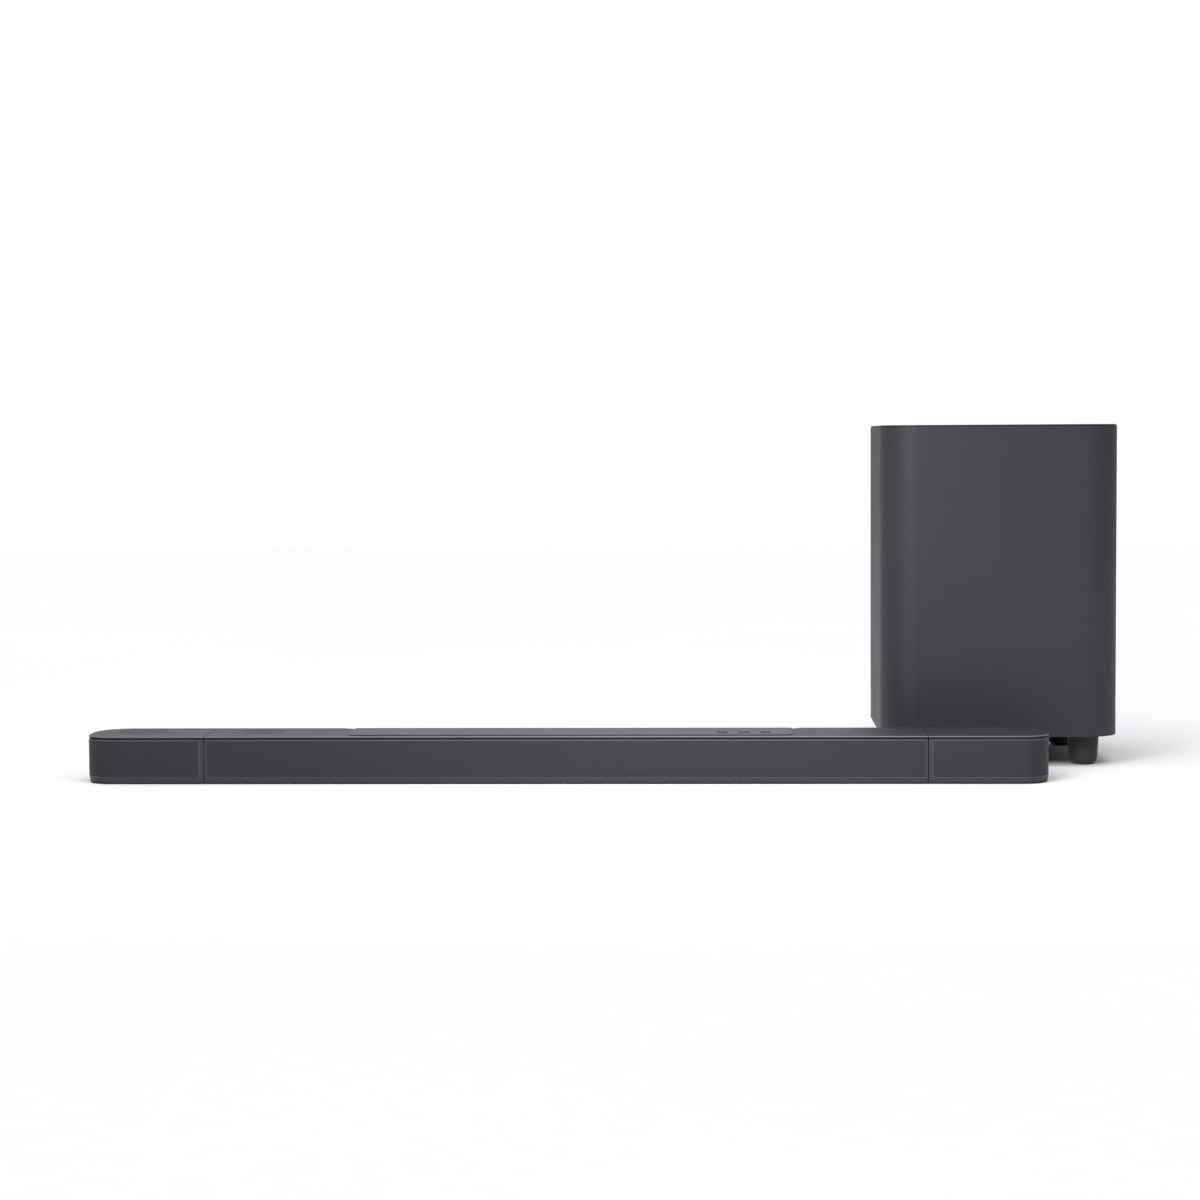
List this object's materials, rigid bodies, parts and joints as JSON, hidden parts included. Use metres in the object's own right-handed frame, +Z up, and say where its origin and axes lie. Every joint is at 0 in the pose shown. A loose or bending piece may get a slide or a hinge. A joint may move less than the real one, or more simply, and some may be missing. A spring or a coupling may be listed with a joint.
{
  "type": "soundbar",
  "caption": "Long low soundbar with end speakers that slide off, a raised control panel with push buttons, and a free-standing downward-firing subwoofer on feet.",
  "frame": {"origin": "on the floor, at the middle of the bar's footprint; the underside of the feet is at Z = 0", "axes": "+X along the bar to the listener's right, +Y to the back, +Z up; the grille faces -Y"},
  "size_m": [1.3025, 0.4811, 0.44],
  "materials": {
    "cover_plastic": "fine texture",
    "housing_plastic": "fine texture",
    "panel_plastic": "satin",
    "grille_metal": "perforated, satin paint",
    "baffle_plastic": "matt",
    "basket_metal": "satin",
    "magnet_metal": "phosphated",
    "cone_paper": "pressed paper",
    "circuit_board": "solder mask",
    "display_lens": "tinted",
    "socket_steel": "plated",
    "inlet_plastic": "matt",
    "button_plastic": "satin",
    "foot_rubber": "matt",
    "suspension_rubber": "satin",
    "screw_steel": "blackened",
    "battery_wrap": "shrink wrap",
    "cabinet_wrap": "fine-grain dark wrap on fibreboard",
    "plate_metal": "powder coat"
  },
  "bodies": {
    "bar": {"bottom_housing": "housing_plastic", "top_cover": "cover_plastic", "control_panel": "panel_plastic", "front_baffle": "baffle_plastic", "front_grille": "grille_metal", "dock_plates": "housing_plastic", "driver_baskets": "basket_metal", "main_board": "circuit_board", "power_supply": "circuit_board", "key_board": "circuit_board", "display_module": "display_lens", "bay_liner": "housing_plastic", "socket_plate": "housing_plastic", "signal_sockets": "socket_steel", "mains_inlet": "inlet_plastic", "bar_feet": "foot_rubber", "bar_screws": "screw_steel"},
    "left_speaker": {"left_speaker_housing": "housing_plastic", "left_speaker_top_cover": "cover_plastic", "left_speaker_grille": "grille_metal", "left_speaker_drivers": "basket_metal", "left_speaker_battery": "battery_wrap", "left_speaker_dock_board": "circuit_board", "left_speaker_feet": "foot_rubber"},
    "right_speaker": {"right_speaker_housing": "housing_plastic", "right_speaker_top_cover": "cover_plastic", "right_speaker_grille": "grille_metal", "right_speaker_drivers": "basket_metal", "right_speaker_battery": "battery_wrap", "right_speaker_dock_board": "circuit_board", "right_speaker_feet": "foot_rubber"},
    "left_speaker_woofer": {"left_speaker_woofer_cone": "cone_paper"},
    "left_speaker_up_driver": {"left_speaker_up_cone": "cone_paper"},
    "left_speaker_key": {"left_speaker_button": "button_plastic"},
    "right_speaker_woofer": {"right_speaker_woofer_cone": "cone_paper"},
    "right_speaker_up_driver": {"right_speaker_up_cone": "cone_paper"},
    "right_speaker_key": {"right_speaker_button": "button_plastic"},
    "woofer_left": {"woofer_cone_left": "cone_paper"},
    "woofer_centre_left": {"woofer_cone_centre_left": "cone_paper"},
    "woofer_centre_right": {"woofer_cone_centre_right": "cone_paper"},
    "woofer_right": {"woofer_cone_right": "cone_paper"},
    "up_driver_left": {"up_cone_left": "cone_paper"},
    "up_driver_right": {"up_cone_right": "cone_paper"},
    "key_power": {"button_power": "button_plastic"},
    "key_volume_down": {"button_volume_down": "button_plastic"},
    "key_volume_up": {"button_volume_up": "button_plastic"},
    "subwoofer": {"sub_cabinet": "cabinet_wrap", "sub_top_panel": "cabinet_wrap", "sub_bottom_baffle": "cabinet_wrap", "sub_basket": "basket_metal", "sub_magnet": "magnet_metal", "sub_suspension": "suspension_rubber", "sub_port_tube": "inlet_plastic", "sub_rear_plate": "plate_metal", "sub_amplifier": "circuit_board", "sub_mains_inlet": "inlet_plastic", "sub_feet": "foot_rubber", "sub_screws": "screw_steel"},
    "sub_driver": {"sub_cone": "cone_paper"},
    "sub_key": {"sub_connect_button": "button_plastic"}
  },
  "joints": [
    {"name": "left_speaker_dock", "type": "slide", "parent": "bar", "child": "left_speaker", "axis": [-1, 0, 0], "range_m": [0, 0.06]},
    {"name": "right_speaker_dock", "type": "slide", "parent": "bar", "child": "right_speaker", "axis": [1, 0, 0], "range_m": [0, 0.06]},
    {"name": "left_speaker_woofer_stroke", "type": "slide", "parent": "left_speaker", "child": "left_speaker_woofer", "axis": [0, -1, 0], "range_m": [-0.002, 0.002], "stiffness_N_per_m": 1500},
    {"name": "left_speaker_up_stroke", "type": "slide", "parent": "left_speaker", "child": "left_speaker_up_driver", "axis": [0, -0.1736, 0.9848], "range_m": [-0.002, 0.002], "stiffness_N_per_m": 1500},
    {"name": "left_speaker_key_press", "type": "slide", "parent": "left_speaker", "child": "left_speaker_key", "axis": [0, -1, 0], "range_m": [0, 0.0005], "stiffness_N_per_m": 800},
    {"name": "right_speaker_woofer_stroke", "type": "slide", "parent": "right_speaker", "child": "right_speaker_woofer", "axis": [0, -1, 0], "range_m": [-0.002, 0.002], "stiffness_N_per_m": 1500},
    {"name": "right_speaker_up_stroke", "type": "slide", "parent": "right_speaker", "child": "right_speaker_up_driver", "axis": [0, -0.1736, 0.9848], "range_m": [-0.002, 0.002], "stiffness_N_per_m": 1500},
    {"name": "right_speaker_key_press", "type": "slide", "parent": "right_speaker", "child": "right_speaker_key", "axis": [0, -1, 0], "range_m": [0, 0.0005], "stiffness_N_per_m": 800},
    {"name": "woofer_left_stroke", "type": "slide", "parent": "bar", "child": "woofer_left", "axis": [0, -1, 0], "range_m": [-0.002, 0.002], "stiffness_N_per_m": 1500},
    {"name": "woofer_centre_left_stroke", "type": "slide", "parent": "bar", "child": "woofer_centre_left", "axis": [0, -1, 0], "range_m": [-0.002, 0.002], "stiffness_N_per_m": 1500},
    {"name": "woofer_centre_right_stroke", "type": "slide", "parent": "bar", "child": "woofer_centre_right", "axis": [0, -1, 0], "range_m": [-0.002, 0.002], "stiffness_N_per_m": 1500},
    {"name": "woofer_right_stroke", "type": "slide", "parent": "bar", "child": "woofer_right", "axis": [0, -1, 0], "range_m": [-0.002, 0.002], "stiffness_N_per_m": 1500},
    {"name": "up_driver_left_stroke", "type": "slide", "parent": "bar", "child": "up_driver_left", "axis": [0, -0.1736, 0.9848], "range_m": [-0.002, 0.002], "stiffness_N_per_m": 1500},
    {"name": "up_driver_right_stroke", "type": "slide", "parent": "bar", "child": "up_driver_right", "axis": [0, -0.1736, 0.9848], "range_m": [-0.002, 0.002], "stiffness_N_per_m": 1500},
    {"name": "key_power_press", "type": "slide", "parent": "bar", "child": "key_power", "axis": [0, 0, -1], "range_m": [0, 0.0006], "stiffness_N_per_m": 800},
    {"name": "key_volume_down_press", "type": "slide", "parent": "bar", "child": "key_volume_down", "axis": [0, 0, -1], "range_m": [0, 0.0006], "stiffness_N_per_m": 800},
    {"name": "key_volume_up_press", "type": "slide", "parent": "bar", "child": "key_volume_up", "axis": [0, 0, -1], "range_m": [0, 0.0006], "stiffness_N_per_m": 800},
    {"name": "subwoofer_place", "type": "slide", "parent": "bar", "child": "subwoofer", "axis": [1, 0, 0], "range_m": [0, 0.2]},
    {"name": "sub_cone_stroke", "type": "slide", "parent": "subwoofer", "child": "sub_driver", "axis": [0, 0, -1], "range_m": [-0.008, 0.008], "stiffness_N_per_m": 4000},
    {"name": "sub_key_press", "type": "slide", "parent": "subwoofer", "child": "sub_key", "axis": [0, -1, 0], "range_m": [0, 0.0006], "stiffness_N_per_m": 800}
  ]
}
